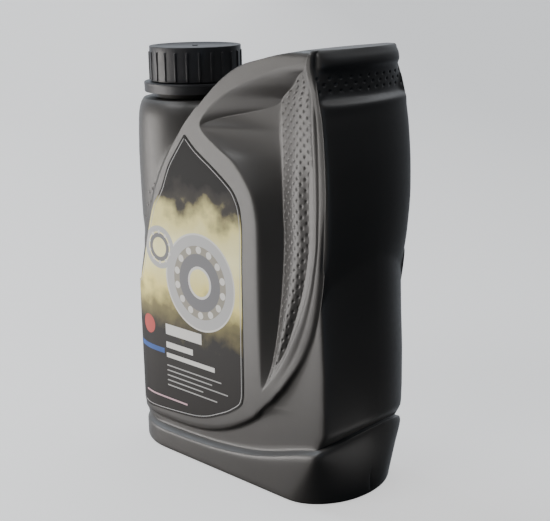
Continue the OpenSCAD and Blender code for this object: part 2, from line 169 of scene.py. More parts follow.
# the bottle's skin: edges drawn on the front as [height, place across], for a 144 x 60 x 202 mm bottle
form = {
    "drawn": (144, 60, 202), "shoulder": 175, "wall": 1.2, "panelStep": 2.2, "grooveDepth": 3,
    "footProud": 1, "scoopDepth": 7.5, "gripBow": 4.6, "gripPower": 9, "grooveRise": 5.6,
    "pointZ": 166.5, "deepZ": 179, "pointSwell": 1.6, "panelTop": 52,
    "panelRound": 2.31, "footRound": 1.95, "baseRound": (1.4, 1.6),
    "topLean": 1.5, "topRound": (3, 2.2), "topBulge": 0.8, "topShare": 0.7, "topCorner": 1.3, "endCove": 2.2,
    "runOut": (15, 60, 0.75), "stepOut": (1.5, 0.7), "leastFlat": 0.3, "endCreep": 0.05,
    "leastGap": 0.4, "leastLip": 4.5, "arcStep": 1.8, "arcReach": (0.78, 0.85), "innerReach": 2.6,
    "partingMark": {"span": (0.05, 0.28), "depth": 1.8},
    # the strip: heights, then shares across it as [middle, width] or [from, to]
    "beadRise": 1.9, "beadDip": 1.7, "hairline": 0.25, "fullStrip": 14, "stripThin": 0.8,
    "crest": (0.44, 0.27), "crestEnds": 6, "dipIn": (0.55, 0.93), "dipOut": (0.95, 1), "hair": (0.52, 0.14),
    "ridgeDrop": 0.6, "borderDrop": 1.3, "flushLift": 0.6, "toppedLift": 0.7, "endStepLess": 0.35,
    # heights between which a form comes in
    "spans": {"recess": (49, 75), "wallLean": (52, 84), "column": (70, 105), "endStep": (110, 140),
              "thinStrip": (138, 172), "lean": (164, 202), "flush": (174, 182), "stripEnd": (182, 192),
              "topped": (184, 192), "corner": (188, 193)},
    # where strip, border and foot meet, smoothed a little more
    "meeting": {"place": (26, 37), "reach": 6, "outside": 20},
    "arc": [[60, -60], [80, -60], [97, -54], [112, -48.5], [133, -40.5], [148.4, -32.4], [165, -19.5],
            [174.7, -9.9], [180.7, -3.6], [187.5, 4.7], [192.5, 13], [195.5, 20.4], [197.1, 27.5],
            [199.6, 38.5], [200.9, 46.5], [202, 53.5]],
    "rim": [[0, 15], [30, 16.5], [38, 19.5], [49, 27.8], [80, 27.6], [124, 27.7], [131.6, 26.7], [138, 24.9],
            [144.6, 20.8], [153, 12.5], [157.6, 3.9], [166.5, -7.6], [175.4, -0.9], [182.8, 10.4],
            [187.6, 21.3], [190.4, 30.1], [193.5, 37.8], [195.2, 46.5], [195.9, 53], [202, 56.2]],
    "fold": [[0, 16.5], [38, 20.8], [49, 28.3], [80, 31], [110, 32], [131, 30.8], [145, 26.5], [155, 17],
             [161, 7], [166.5, -6.6], [179, 34.7], [187, 37], [193, 46], [195.5, 53.3], [202, 56.8]],
    "valley": [[0, 18], [30, 19.5], [38, 22], [48.5, 28.8], [61.6, 33.1], [79, 35.2], [99, 36.6],
               [121, 37.2], [130, 36.6], [146, 36.1], [163, 35.7], [179, 35.2], [187.5, 46], [192.2, 51],
               [194, 54.4], [202, 57.4]],
    "ridge": [[0, 21], [30, 22.5], [38, 24], [49, 29.8], [60, 37.5], [76, 46], [89.4, 52], [105, 57.2],
              [124, 60.3], [150, 60.2], [178, 59.2], [190, 57.2], [196, 56], [202, 57.8]],
    "border": [[0, 24], [36, 24.6], [37.8, 26.5], [40, 30.5], [43.5, 34], [48.8, 37.9], [56.1, 43.4],
               [67.6, 51.2], [74.7, 54.7], [81.3, 57.4], [93, 60.4], [106, 62.4], [124, 64], [142, 65.2],
               [165, 64.3], [179, 62.2], [190, 59.6], [196, 58], [202, 58.2]],
    "valleyDepth": [[49, 0], [61.6, 0.3], [79, 0.59], [99, 0.8], [121, 0.92], [163, 1], [179, 1],
                    [187.5, 0.5], [192.2, 0.22], [194.5, 0.06], [195.9, 0.01]],
    "columnR": [[105, 28.4], [109, 28], [118, 28.6], [147, 29], [160, 28.7], [168, 28.2], [172, 27.3],
                [174, 26.4], [175, 25.4]],
    "gripX": [[60, 55], [84, 59], [95, 61], [101, 63], [107, 64.6], [120, 66.8], [138, 67.8], [150, 67.6],
              [170, 65.9], [176, 65.1], [179.8, 64.7], [182.1, 61.7], [184.5, 61], [189, 60.8],
              [193.5, 61.2], [195.6, 62.5], [198, 62.2], [200, 61.2], [202, 60.2]],
    "lowX": [[0, 64.8], [12, 63.8], [22, 63.4], [28, 64.2], [34, 64.8], [60, 64.7], [84, 63.6], [101, 63.1],
             [117, 62.6], [130, 60], [150, 45]],
    "lowStart": [[0, 44], [10, 50], [25, 58], [40, 61.2], [84, 61], [101, 60.5], [130, 57], [150, 42]],
    "lowRound": [[0, 2.3], [12, 3.2], [25, 6], [40, 10]],
    "lowBow": [[0, 3.5], [25, 6.4], [40, 7.2], [101, 7.8]],
    # heights across the front
    "groove": [[-72, 11], [-52, 11.8], [-34, 11.9], [-10, 12.8], [12.4, 15.3], [33.8, 19.9], [51.9, 26.2],
               [62, 28.4]],
    "sweep": [[-72, 15.8], [-46.7, 16], [-34, 16.2], [-21, 17], [-10, 18.6], [1.4, 22], [12.8, 27.5],
              [23.7, 34.6], [27, 37.8], [28.5, 39], [50, 41], [72, 44]],
}
line = {name: smoothCurve(pairs) for name, pairs in form.items() if isinstance(pairs, list)}
bodyH = bottleHigh.z
bodyD = 2 * (bottleHigh.y - form["footProud"])
halfD = bodyD / 2
bodyW = 2 * (halfD - neckX)
kx, ky, kz = bodyW / form["drawn"][0], bodyD / form["drawn"][1], bodyH / form["drawn"][2]
shoulderZ = form["shoulder"] * kz


def bowed(x0, x1, rise, power, s):
    return x0 + (x1 + rise * (1 - s * s) - x0) * max(0, 1 - s ** power) ** (1 / power)


def gripEnd(z, s):
    low = bowed(line["lowStart"](z), line["lowX"](z), line["lowBow"](z), line["lowRound"](z), s)
    if z <= form["spans"]["column"][0]:
        return low
    start = line["border"](z) - 2 if z > 90 else line["gripX"](z) - 3
    return max(low, bowed(start, line["gripX"](z), form["gripBow"], form["gripPower"], s))


def layRound(u, d):
    if u >= neckX:
        return u, -d
    a = (neckX - u) / halfD
    return neckX - d * math.sin(a), -d * math.cos(a)


def squared(a, power):
    return (abs(math.sin(a)) ** power + abs(math.cos(a)) ** power) ** (-1 / power)


def held(kind, a):
    # the groove and the ground over it run out round the end
    start, end, share = form["runOut"]
    return 1 - share * ease(start, end, math.degrees(a)) if kind in ("ledge", "ground") else 1


def nominalHeight(kind, place):
    return {"base": 0, "band": 24 * place, "ledge": 28, "ground": 30 + 6 * place, "step": 36 + 1.8 * place,
            "panel": 37.8 + place * 14.2, "level": place}[kind]


def rowHeight(kind, place, zg, zs, t):
    if kind == "base":
        return place + t
    if kind == "band":
        return 2.4 + t + (zg - 3.6 - t) * place
    if kind == "ledge":
        return zg - 1.2 + 1.2 * place
    if kind == "ground":
        return zg + 0.8 + (zs - 2 - zg) * place
    if kind == "step":
        return zs - 1.2 + 1.8 * place + t * 0.8
    top = zs + 0.6 + t * 0.8
    return top + (form["panelTop"] - top) * place if kind == "panel" else place


def coming(name, z):
    return ease(*form["spans"][name], z)


def between(first, last, f):
    return tuple(a + (b - a) * f for a, b in zip(first, last))


def endRoundAt(k):
    # squarish low down, a true round at the column
    return 2 + (form["panelRound"] - 2) * (1 - k)


def edgesAt(z, t):
    # edges from the column to the grip, kept a little apart
    gap = form["leastGap"]
    lean = t * coming("wallLean", z)
    arc = line["arc"](z + t * 1.4) * kx + t
    border = line["border"](z) * kx - lean
    ridge = min(border - gap, line["ridge"](z) * kx - lean * 0.8)
    vale = min(ridge - gap, line["valley"](z) * kx)
    edge = line["rim"](z) * kx
    fold = min(vale - gap, max(edge + gap, line["fold"](z) * kx))
    return arc, min(edge, fold - gap), fold, vale, ridge, border


def scoopDepths(z, rim, fold, vale):
    deep, pointZ, deepZ = form["scoopDepth"], form["pointZ"], form["deepZ"]
    valeDepth = deep * line["valleyDepth"](z)
    if pointZ < z < deepZ:
        return deep * (1 - (1 - (z - pointZ) / (deepZ - pointZ)) ** form["pointSwell"]), valeDepth
    return valeDepth * (fold - rim) / (vale - rim), valeDepth


def stripRise(f, crown, dip, hair):
    # bead, the dip beside it and the hairline, at a share across
    middle, width = form["crest"]
    ends = form["crestEnds"]
    bead = crown * math.exp(-((f - middle) / width) ** 2) * min(1, ends * f, ends * (1 - f))
    bead -= dip * ease(*form["dipIn"], f) * (1 - ease(*form["dipOut"], f))
    middle, width = form["hair"]
    return bead - hair * max(0, 1 - abs(f - middle) / width)


def endAt(z, s, t):
    # the inside wall clears the end just above and below it too
    reach = form["innerReach"]
    near = [gripEnd(max(0, z + dz), s) for dz in ((-reach, 0, reach) if t else (0,))]
    return min(near) * kx - t


def rowAt(row, t):
    # what the parts of a row share: d is how far the face stands from the middle
    kind, place, cutBack = row
    z = nominalHeight(kind, place)
    foot = kind in ("base", "band", "ledge")
    raised = kind in ("step", "panel", "level")
    proud = form["footProud"] if foot else 0
    sink = 0
    if kind == "ground":
        sink = form["panelStep"]
    if kind == "step":
        sink = form["panelStep"] * (1 - ease(0, 1, place))
    tall, inset = form["topRound"]
    q = min(1, max(0, (z - (form["drawn"][2] - tall)) / tall))
    back = cutBack + t
    d = halfD - form["topLean"] * coming("lean", z) - inset * (1 - math.sqrt(1 - q * q)) - back + proud
    return SimpleNamespace(kind=kind, place=place, cutBack=cutBack, back=back, z=z, t=t, d=d, sink=sink,
                           foot=foot, raised=raised, proud=proud, low=z <= form["shoulder"] - t * 2,
                           fade=coming("recess", z) if raised else 0, flush=coming("flush", z))


def columnPlan(at, arc, n):
    # round the column, or up to the arc above its shoulder
    k = coming("column", at.z)
    r = (halfD - at.sink + at.proud) * (1 - k) + line["columnR"](at.z) * ky * k - at.back
    u0 = arc - form["arcStep"]
    if u0 < neckX:
        a0 = (neckX - u0) / halfD
    else:
        a0 = -math.asin(min(form["arcReach"][1 if at.t else 0], (u0 - neckX) / r))
    endRound = form["footRound"] if at.foot else endRoundAt(k)
    plan = []
    for i in range(n):
        f = i / (n - 1)
        if at.low:
            a = math.pi / 2 + (a0 - math.pi / 2) * f
            out = (at.sink * (1 - k) + at.cutBack) * (1 - held(at.kind, a))
            rr = (r + out) * squared(a, endRound)
            plan.append((neckX - rr * math.sin(a), -rr * math.cos(a)))
        else:
            plan.append((arc - form["topBulge"] * (1 - f * f), -form["topShare"] * (at.d - 2) * f))
    return plan


def facePlan(at, arc, rim, shares):
    u1 = arc + (0 if at.low else form["topBulge"])
    faceRound = form["footRound"] if at.foot else form["panelRound"]
    plan = []
    for f in shares:
        u = u1 + (rim - u1) * f
        a = (neckX - u) / halfD if u < neckX else 0
        out = (at.sink + at.cutBack) * (1 - held(at.kind, a))
        plan.append(layRound(u, (at.d - at.sink + out) * squared(a, faceRound)))
    return plan


def recessPlan(at, edges, cols):
    # the recess, the strip and its border, and how many points come before the strip
    rim, fold, vale, ridge, border = edges[1:]
    df, dv = scoopDepths(at.z, rim, fold, vale) if at.raised else (0, 0)
    plan = []

    def run(a, b, da, db, shares, crown=0, dip=0, hair=0):
        for f in shares:
            rise = stripRise(f, crown, dip, hair)
            plan.append(layRound(a + (b - a) * f, at.d - at.sink - da - (db - da) * f + rise))

    run(rim, fold, 0, df, cols["fold"])
    run(fold, vale, df, dv, cols["scoop"])
    before = len(plan)
    wide = min(1, (ridge - vale) / form["fullStrip"]) * at.fade
    wide *= 1 - form["stripThin"] * coming("thinStrip", at.z)
    wide = 0 if at.t else wide * (1 - coming("stripEnd", at.z))
    # over the ledge the strip runs flat to the corner, which falls back at the top
    topped = coming("topped", at.z)
    ridgeDrop = form["ridgeDrop"] * at.fade * (1 - topped)
    borderDrop = (form["borderDrop"] - form["flushLift"] * at.flush) * at.fade
    borderDrop *= 1 - form["toppedLift"] * topped
    run(vale, ridge, dv, ridgeDrop, cols["strip"], form["beadRise"] * wide, form["beadDip"] * wide)
    hairline = 0 if at.t else form["hairline"] * at.fade * (1 - at.flush)
    run(ridge, border, ridgeDrop, borderDrop, cols["border"], 0, 0, hairline)
    return plan, before


def gripPlan(at, border, lastEdge, cols):
    # down to the flat beside the grip, and round the end
    endStep = form["panelStep"] * (1 - form["endStepLess"] * coming("endStep", at.z))
    ground = at.d - (0 if at.foot else endStep - form["flushLift"] * at.flush)
    high = at.z > form["spans"]["endStep"][0]
    u9 = border + (form["stepOut"][1] - at.t * 0.3 if high else form["stepOut"][0])
    xc = max(endAt(at.z, 1, at.t), u9 + form["leastFlat"])
    steps = [between(lastEdge, (u9, -ground), f) for f in cols["borderStep"]]
    fallBack = form["topCorner"] * coming("corner", at.z)
    # over the foot the end swells out of the groove in a cove
    inward = at.cutBack
    if at.kind == "ground":
        inward += form["endCove"] * (1 - ease(0, 0.5, at.place))
    flat = [(u9 + (xc - inward - u9) * f, -ground + fallBack * f) for f in cols["flat"]]
    creep = 1 if at.t else 5 / len(cols["end"])
    end = []
    for i, s in enumerate(cols["end"]):
        x = xc if i == 0 else max(endAt(at.z, s, at.t), xc + form["endCreep"] * i * creep)
        end.append((x - inward, (fallBack - ground) * s))
    # short mark of the mould's parting line, low on the end
    mark = form["partingMark"]
    if at.kind == "band" and not at.t and mark["span"][0] < at.place < mark["span"][1]:
        end[-1] = (end[-1][0] - mark["depth"], 0)
    return steps, flat, end


def halfRow(row, cols, t):
    at = rowAt(row, t)
    edges = edgesAt(at.z, t)
    arc, rim, border = edges[0], edges[1], edges[-1]
    plan = columnPlan(at, arc, cols["column"])
    face = facePlan(at, arc, rim, cols["face"])
    columnEdge = plan[-1]
    for f in cols["arcStep"]:
        plan.append(between(columnEdge, face[0], f if at.low else 1 - (1 - f) ** 2))
    recess, before = recessPlan(at, edges, cols)
    stripStart = len(plan) + len(face) + before - 1
    stripMark = [stripStart, stripStart + len(cols["strip"])]
    steps, flat, end = gripPlan(at, border, recess[-1], cols)
    plan += face + recess + steps
    flatStart = len(plan)
    plan += flat
    endStart = len(plan)
    plan += end
    points = []
    for i, (x, y) in enumerate(plan):
        s = 1 if i < endStart else cols["end"][i - endStart]
        zg = line["groove"](x / kx) + (0 if i < endStart else form["grooveRise"] * (1 - s * s))
        zs = max(line["sweep"](x / kx), zg + form["leastLip"])
        points.append((x, y, min(bodyH - t * 1.2, rowHeight(at.kind, at.place, zg, zs, t) * kz)))
    return points, stripMark, flatStart


def spread(n, tight=1.0):
    # n shares up to 1, closer together at both ends where tight is above 1
    out = []
    for i in range(1, n + 1):
        f = i / n
        out.append(0.5 * (2 * f) ** tight if f < 0.5 else 1 - 0.5 * (2 - 2 * f) ** tight)
    return out


def levels(z0, z1, n):
    return [("level", z0 + (z1 - z0) * i / n, 0) for i in range(1, n + 1)]


skinCols = {"column": 20, "arcStep": [0.25, 0.5, 0.75], "face": [0.0] + spread(25, 1.3),
            "fold": [0.25, 0.5, 0.75, 0.9, 0.97, 1],
            "scoop": [0.03, 0.1, 0.22, 0.36, 0.5, 0.64, 0.78, 0.9, 0.97, 1],
            "strip": spread(26), "border": [0.12, 0.34, 0.44, 0.52, 0.6, 0.7, 0.9, 1],
            "borderStep": [0.25, 0.5, 0.75], "flat": [0, 0.3, 0.6, 0.85],
            "end": [math.sin(math.pi / 2 * (1 - i / 20) ** 0.8) for i in range(20)] + [0.05, 0.014, 0]}
lineCols = {"column": 20, "arcStep": [0.5], "face": [0.0] + spread(8), "fold": [1], "scoop": spread(2),
            "strip": spread(4), "border": [1], "borderStep": [0.5], "flat": [0, 0.5],
            "end": [1, 0.97, 0.9, 0.75, 0.5, 0.25, 0]}
quarter = [math.pi / 2 * i / 6 for i in range(7)]
skinRows = ([("base", form["baseRound"][1] * (1 - math.cos(a)), form["baseRound"][0] * (1 - math.sin(a)))
             for a in quarter]
            + [("band", f, 0) for f in (0.06, 0.12, 0.18, 0.25, 0.31, 0.38, 0.5, 0.62, 0.74, 0.84)]
            + [("band", 0.9, 0.06), ("band", 0.95, 0.25), ("band", 0.98, 0.5), ("band", 1, 0.9)]
            + [("ledge", f, 0.9 + 2.1 * f) for f in (0.2, 0.5, 0.8, 1)]
            + [("ground", f, 0) for f in (0, 0.15, 0.3, 0.45, 0.6, 0.75, 0.9, 1)]
            + [("step", f, 0) for f in (0.2, 0.4, 0.6, 0.8, 1)]
            + [("panel", i / 13, 0) for i in range(1, 14)]
            + levels(form["panelTop"], 152, 88) + levels(152, form["shoulder"] - 0.1, 22)
            + [("level", form["shoulder"] + 0.2, 0)] + levels(form["shoulder"] + 0.2, 196, 26)
            + [("level", z, 0) for z in (197, 198, 198.8, 199.5, 200.1, 200.6, 201, 201.4, 201.7, 201.9)]
            + [("level", form["drawn"][2], 0)])
innerShoulder = form["shoulder"] - 2 * form["wall"]
lineRows = ([("base", 0, 2.4), ("base", 2.4, 0.4), ("band", 0.7, 0.2)]
            + [("ledge", 1, form["grooveDepth"] + 0.2), ("ground", 0.2, 0.2), ("ground", 1, 0)]
            + [("step", 1, 0), ("panel", 0.5, 0), ("panel", 1, 0)]
            + levels(form["panelTop"], 152, 16) + levels(152, innerShoulder - 0.1, 5)
            + [("level", innerShoulder + 0.5, 0)] + levels(innerShoulder + 0.5, 199.5, 8))


def skinPiece(name, rows, cols, t, closeShares):
    halves = [halfRow(row, cols, t) for row in rows]
    grid = [half[0] for half in halves]
    mark, flatStart = halves[0][1], halves[0][2]
    # rows drawn in to the middle plane close the base and the top
    below = [[(x, y * f, z) for x, y, z in grid[0]] for f in closeShares]
    above = [[(x, y * f, z) for x, y, z in grid[-1]] for f in reversed(closeShares)]
    heights = [nominalHeight(*row[:2]) for row in rows]
    openRow = len(below) + max(i for i, z in enumerate(heights) if z <= form["shoulder"] - t * 2)
    grid = below + grid + above
    nCols, nRows = len(grid[0]), len(grid)
    piece = gridPiece(nCols, nRows)
    piece.name = name
    piece.data.vertices.foreach_set("co", [c * mm for row in grid for p in row for c in p])
    bands = {"strip": (mark[0], mark[1] + 1), "side": (flatStart, nCols), "column": (0, cols["column"])}
    for groupName, (first, last) in bands.items():
        group = piece.vertex_groups.new(name=groupName)
        group.add([j * nCols + i for j in range(nRows) for i in range(first, last)], 1.0, "REPLACE")

    def underNeck(face):
        spots = [divmod(v.index, nCols) for v in face.verts]
        return all(j in (openRow, openRow + 1) and i < cols["column"] for j, i in spots)

    # the shoulder under the neck is left open
    selectFaces(piece, underNeck)
    bpy.ops.mesh.delete(type="FACE")
    objectMode()
    mergeAndTurnOut(piece)
    mirrorToBack(piece)
    return piece


def selectOpenEdge():
    bpy.ops.mesh.select_all(action="DESELECT")
    bpy.ops.mesh.select_non_manifold(extend=False, use_wire=False, use_boundary=True, use_multi_face=False,
                                     use_non_contiguous=False, use_verts=False)


bottle = skinPiece("bottleSkin", skinRows, skinCols, 0, [0, 0.3, 0.6, 0.85, 0.96])
print("outer skin", len(bottle.data.polygons), "faces")

# soften the moulded edges
editMesh(bottle)
selectOpenEdge()
bpy.ops.mesh.select_all(action="INVERT")
bpy.ops.mesh.vertices_smooth(factor=0.5, repeat=2)
objectMode()
meeting = form["meeting"]
meetX, meetZ = meeting["place"]
mesh = editMesh(bottle)
bpy.ops.mesh.select_all(action="DESELECT")
for v in mesh.verts:
    near = math.hypot(v.co.x / mm - meetX, v.co.z / mm - meetZ) < meeting["reach"]
    v.select = near and abs(v.co.y) > meeting["outside"] * mm
mesh.select_flush_mode()
bmesh.update_edit_mesh(bottle.data)
bpy.ops.mesh.vertices_smooth(factor=0.5, repeat=6)
objectMode()

# the neck rises from the open shoulder: rings of [radius, height]
neck = {"bore": 16.0, "wall": 2.0}
bore, neckTop = neck["bore"], linerLow.z
neckR = bore + neck["wall"]
neckRings = [(neckR + 0.7, shoulderZ), (neckR + 0.25, shoulderZ + 0.15), (neckR, shoulderZ + 0.5),
             (neckR, neckTop - 0.8), (neckR - 0.2, neckTop - 0.25), (neckR - 0.6, neckTop),
             (bore + 0.5, neckTop), (bore + 0.1, neckTop - 0.3), (bore, neckTop - 0.8),
             (bore, (innerShoulder + 0.2) * kz)]
editMesh(bottle)
selectOpenEdge()
for radius, height in neckRings:
    bpy.ops.mesh.extrude_region()
    mesh = bmesh.from_edit_mesh(bottle.data)
    for v in mesh.verts:
        if v.select:
            a = math.atan2(v.co.y, v.co.x - neckX * mm)
            v.co = ((neckX + radius * math.cos(a)) * mm, radius * math.sin(a) * mm, height * mm)
    bmesh.update_edit_mesh(bottle.data)
objectMode()

inside = skinPiece("bottleInside", lineRows, lineCols, form["wall"], [0, 0.5])
joinInto(bottle, inside)
editMesh(bottle)
selectOpenEdge()
bpy.ops.mesh.bridge_edge_loops()
objectMode()
mergeAndTurnOut(bottle, 0.001 * mm)
print("bottle wall closed,", len(bottle.data.polygons), "faces")

# rows of small dimples, as [pitch across, pitch along, radius, depth] in mm
dots = {"strip": (2.2, 4.4, 0.7, 0.55), "side": (2.5, 4.8, 0.85, 0.5), "stripSpan": (56, 192),
        "sideSpan": (184.2, 192.4), "sideLift": 1.2, "margin": 1.3, "columnSpan": (107, 129),
        # least distance from the middle at which each lies
        "out": {"strip": 15, "side": 48, "column": 22, "end": 55},
        # single ones by degrees round the column and height, with radius and depth
        "columnSize": (0.75, 0.5),
        "column": [(-0.8, 126.2), (3, 123.9), (8.8, 121.9), (7.6, 118.1), (13.9, 115.7), (20.7, 109.6)]}


def selectByGroup(piece, groupName, keep):
    index = piece.vertex_groups[groupName].index
    mesh = editMesh(piece, "FACE")
    bpy.ops.mesh.select_all(action="DESELECT")
    deform = mesh.verts.layers.deform.verify()
    for face in mesh.faces:
        face.select = all(v[deform].get(index, 0) > 0.99 and keep(v) for v in face.verts)
    bmesh.update_edit_mesh(piece.data)


def dent(gap, size):
    return max(0, 1 - (gap / size) ** 2) ** 1.5


def latticeDip(across, along, pitch, size):
    # depth share at a place in a staggered lattice, 0 away from the dots
    gaps = []
    k0 = round(across / pitch[0])
    for k in (k0 - 1, k0, k0 + 1):
        shift = pitch[1] / 2 if k % 2 else 0
        j = round((along - shift) / pitch[1])
        gaps.append(math.hypot(across - k * pitch[0], along - shift - j * pitch[1]))
    return dent(min(gaps), size)


def pressDots(piece, groupName, keep, shareAt, depth, cuts):
    selectByGroup(piece, groupName, keep)
    bpy.ops.mesh.subdivide(number_cuts=cuts)
    objectMode()
    index = piece.vertex_groups[groupName].index
    mesh = editMesh(piece)
    deform = mesh.verts.layers.deform.verify()
    mesh.normal_update()
    moves = []
    for v in mesh.verts:
        if v[deform].get(index, 0) > 0.6 and keep(v):
            share = shareAt(v.co)
            if share > 0:
                moves.append((v, v.normal.copy() * -share * depth * mm))
    for v, move in moves:
        v.co += move
    bmesh.update_edit_mesh(piece.data)
    objectMode()
    print(groupName, "dimples moved", len(moves), "points")


def outerWall(v):
    # the inside wall is told by its normals, which face the middle of the bottle
    return v.normal.y * v.co.y > 0 or v.co.x > dots["out"]["end"] * mm


def keepStrip(v):
    low, high = dots["stripSpan"]
    return low < v.co.z / mm / kz < high and abs(v.co.y) > dots["out"]["strip"] * mm and outerWall(v)


def stripShare(co):
    z = co.z / mm / kz
    across, along = co.x / mm - line["valley"](z) * kx, co.z / mm
    wide = (line["ridge"](z) - line["valley"](z)) * kx
    if across < dots["margin"] * 0.6 or across > wide - dots["margin"]:
        return 0
    return latticeDip(across - dots["margin"], along, dots["strip"][:2], dots["strip"][2])


def keepSide(v):
    low, high = dots["sideSpan"]
    return low < v.co.z / mm / kz < high and v.co.x > dots["out"]["side"] * mm and v.normal.x > 0


def sideShare(co):
    along = co.z / mm - (dots["sideSpan"][0] + dots["sideLift"]) * kz
    return latticeDip(co.y / mm, along, dots["side"][:2], dots["side"][2])


def keepColumn(v):
    low, high = dots["columnSpan"]
    return low < v.co.z / mm < high and abs(v.co.y) > dots["out"]["column"] * mm and outerWall(v)


def columnShare(co):
    turn = math.degrees(math.atan2(neckX - co.x / mm, abs(co.y) / mm))
    gap = min(math.hypot(math.radians(turn - a) * halfD, co.z / mm - z) for a, z in dots["column"])
    return dent(gap, dots["columnSize"][0])


pressDots(bottle, "strip", keepStrip, stripShare, dots["strip"][3], 1)
pressDots(bottle, "side", keepSide, sideShare, dots["side"][3], 3)
pressDots(bottle, "column", keepColumn, columnShare, dots["columnSize"][1], 3)
smoothShade(bottle, 50)


# materials: colour and roughness are left out where a noise sets them
def newMaterial(name, colour=None, roughness=None):
    material = bpy.data.materials.new(name)
    material.use_nodes = True
    nodes, links = material.node_tree.nodes, material.node_tree.links
    shader = nodes["Principled BSDF"]
    if colour:
        shader.inputs["Base Color"].default_value = (*colour, 1)
    if roughness:
        shader.inputs["Roughness"].default_value = roughness
    return material, nodes, links, shader


def objectPlace(nodes):
    return nodes.new("ShaderNodeTexCoord").outputs["Object"]


def noise(nodes, links, place, scale, detail):
    node = nodes.new("ShaderNodeTexNoise")
    node.inputs["Scale"].default_value = scale
    node.inputs["Detail"].default_value = detail
    links.new(place, node.inputs["Vector"])
    return node.outputs["Fac"]


def mapped(nodes, links, value, low, high, fromLow=0.0, fromHigh=1.0):
    node = nodes.new("ShaderNodeMapRange")
    for name, number in (("From Min", fromLow), ("From Max", fromHigh), ("To Min", low), ("To Max", high)):
        node.inputs[name].default_value = number
    links.new(value, node.inputs["Value"])
    return node.outputs["Result"]


def mixColour(nodes, links, factor, first, second):
    node = nodes.new("ShaderNodeMix")
    node.data_type = "RGBA"
    links.new(factor, node.inputs["Factor"])
    for socket, colour in ((node.inputs[6], first), (node.inputs[7], second)):
        if hasattr(colour, "is_linked"):
            links.new(colour, socket)
        else:
            socket.default_value = (*colour, 1)
    return node.outputs[2]


def grain(nodes, links, shader, place, scale, strength, distance):
    bump = nodes.new("ShaderNodeBump")
    bump.inputs["Strength"].default_value = strength
    bump.inputs["Distance"].default_value = distance
    links.new(noise(nodes, links, place, scale, 2.0), bump.inputs["Height"])
    links.new(bump.outputs["Normal"], shader.inputs["Normal"])


# finishes: colours, roughness from and to, noises as [scale, detail], grain as [scale, strength, distance]
finish = {"bottle": {"dark": (0.053, 0.05, 0.048), "light": (0.067, 0.064, 0.061), "cloud": (35, 4),
                     "rough": (0.36, 0.48), "sheen": (420, 2), "grain": (2600, 0.12, 0.0001)},
          "cap": {"colour": (0.03, 0.03, 0.033), "rough": (0.36, 0.5), "sheen": (260, 3),
                  "grain": (3200, 0.1, 0.0001)},
          "liner": {"colour": (0.78, 0.78, 0.75), "rough": 0.8, "grain": (1800, 0.4, 0.0002)}}


def addSheen(nodes, links, shader, place, look):
    sheen = noise(nodes, links, place, *look["sheen"])
    links.new(mapped(nodes, links, sheen, *look["rough"]), shader.inputs["Roughness"])
    grain(nodes, links, shader, place, *look["grain"])


def satinBottlePlastic():
    look = finish["bottle"]
    material, nodes, links, shader = newMaterial("satinBottlePlastic")
    place = objectPlace(nodes)
    cloud = noise(nodes, links, place, *look["cloud"])
    links.new(mixColour(nodes, links, cloud, look["dark"], look["light"]), shader.inputs["Base Color"])
    addSheen(nodes, links, shader, place, look)
    return material


def blackCapPlastic():
    material, nodes, links, shader = newMaterial("blackCapPlastic", finish["cap"]["colour"])
    addSheen(nodes, links, shader, objectPlace(nodes), finish["cap"])
    return material


def linerFoam():
    look = finish["liner"]
    material, nodes, links, shader = newMaterial("linerFoam", look["colour"], look["rough"])
    grain(nodes, links, shader, objectPlace(nodes), *look["grain"])
    return material


bottlePlastic = satinBottlePlastic()
capPlastic = blackCapPlastic()
placePiece(bottle, "bottleBody", "bottle", "bottle", bottlePlastic, "bottle")

# screw thread: a small section of [out, up] wound up round the neck
thread = {"pitch": 4.0, "turns": 2, "steps": 96, "low": 8.6,
          "section": [(-0.3, 0), (-0.3, 1.8), (0.4, 1.5), (0.8, 1.1), (0.8, 0.7), (0.4, 0.3)]}
clearSelection()
bpy.ops.mesh.primitive_circle_add(vertices=len(thread["section"]), radius=mm, location=(neckX * mm, 0, 0))
threadPiece = bpy.context.object
for v, (out, height) in zip(threadPiece.data.vertices, thread["section"]):
    v.co = ((neckR + out) * mm, 0, (shoulderZ + thread["low"] + height) * mm)
applyModifier(threadPiece, "SCREW", angle=2 * math.pi, screw_offset=thread["pitch"] * mm,
              steps=thread["steps"], render_steps=thread["steps"], iterations=thread["turns"])
applyPlace()
editMesh(threadPiece)
bpy.ops.mesh.select_all(action="SELECT")
bpy.ops.mesh.remove_doubles(threshold=0.01 * mm)
bpy.ops.mesh.fill_holes(sides=8)
objectMode()
mergeAndTurnOut(threadPiece)
smoothShade(threadPiece, 50)
placePiece(threadPiece, "neckThread", "bottle", "bottle", bottlePlastic)

# screw cap: a turned cup with rounded ribs
cap = {"ribs": 24, "ribHeight": 0.5, "ribStart": 0.5, "ribEnd": 2.4, "steps": 6, "threadRoom": 0.9,
       "play": 0.4, "topThick": 1.6, "topRim": (2.2, 0.5), "dish": 0.35, "bevel": 0.22, "nub": (1.3, 0.3)}
capR = (capHigh.x - capLow.x) / 2
capWallR = capR - cap["ribHeight"]
skirtIn = neckR + cap["threadRoom"] + cap["play"]
segments = cap["ribs"] * cap["steps"]
capTall = capHigh.z - capLow.z
clearSelection()
bpy.ops.mesh.primitive_cylinder_add(vertices=segments, radius=capWallR * mm, depth=capTall * mm,
                                    location=(neckX * mm, 0, (capLow.z + capHigh.z) / 2 * mm),
                                    rotation=(0, 0, math.pi / segments))
capPiece = bpy.context.object
applyPlace()


def isTop(face):
    return face.normal.z > 0.9 and face.calc_center_median().z > (capHigh.z - 0.1) * mm


